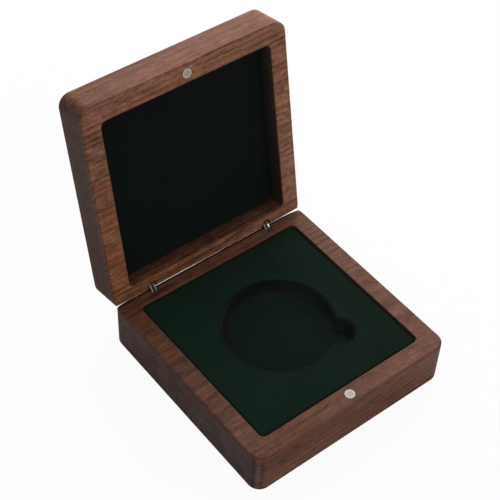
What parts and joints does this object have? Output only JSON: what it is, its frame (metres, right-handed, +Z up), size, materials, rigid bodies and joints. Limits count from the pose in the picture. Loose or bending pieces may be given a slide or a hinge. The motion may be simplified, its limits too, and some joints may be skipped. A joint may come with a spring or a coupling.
{
  "type": "medal storage box",
  "caption": "Square hinged walnut box with a velvet insert, a round well with a thumb notch for a medal, magnets in the rims and concealed barrel hinges.",
  "frame": {"origin": "centre of the base's flat underside", "axes": "+Z up, -Y towards the front with the magnets, +Y towards the hinges, +X to the right seen from the front"},
  "size_m": [0.1, 0.1316, 0.1178],
  "materials": {
    "walnut": "oiled walnut, matt",
    "velvet": "dark green velvet",
    "board": "bare fibreboard",
    "foam": "dense foam",
    "hinge_metal": "nickel plated brass, satin",
    "pin_steel": "steel",
    "magnet": "nickel plated disc magnet"
  },
  "bodies": {
    "base": {"base_box": "walnut", "base_magnet": "magnet", "foam_block": "foam", "well_floor_velvet": "velvet", "insert_board": "board", "insert_velvet": "velvet", "left_base_barrel": "hinge_metal", "right_base_barrel": "hinge_metal", "left_base_pin": "pin_steel", "right_base_pin": "pin_steel"},
    "hinge_links": {"left_inner_link": "hinge_metal", "left_outer_link": "hinge_metal", "right_inner_link": "hinge_metal", "right_outer_link": "hinge_metal"},
    "lid": {"lid_box": "walnut", "lid_magnet": "magnet", "lid_lining_board": "board", "lid_lining_velvet": "velvet", "left_lid_barrel": "hinge_metal", "right_lid_barrel": "hinge_metal", "left_lid_pin": "pin_steel", "right_lid_pin": "pin_steel"}
  },
  "joints": [
    {"name": "link_swing", "type": "hinge", "parent": "base", "child": "hinge_links", "pos_m": [0, 0.04605, 0.0205], "axis": [1, 0, 0], "range_deg": [0, 50.35]},
    {"name": "lid_swing", "type": "hinge", "parent": "hinge_links", "child": "lid", "pos_m": [0, 0.04928, 0.02318], "axis": [1, 0, 0], "range_deg": [0, 50.35]}
  ],
  "couplings": [
    {"joint": "link_swing", "follows": "lid_swing", "ratio": 1}
  ]
}
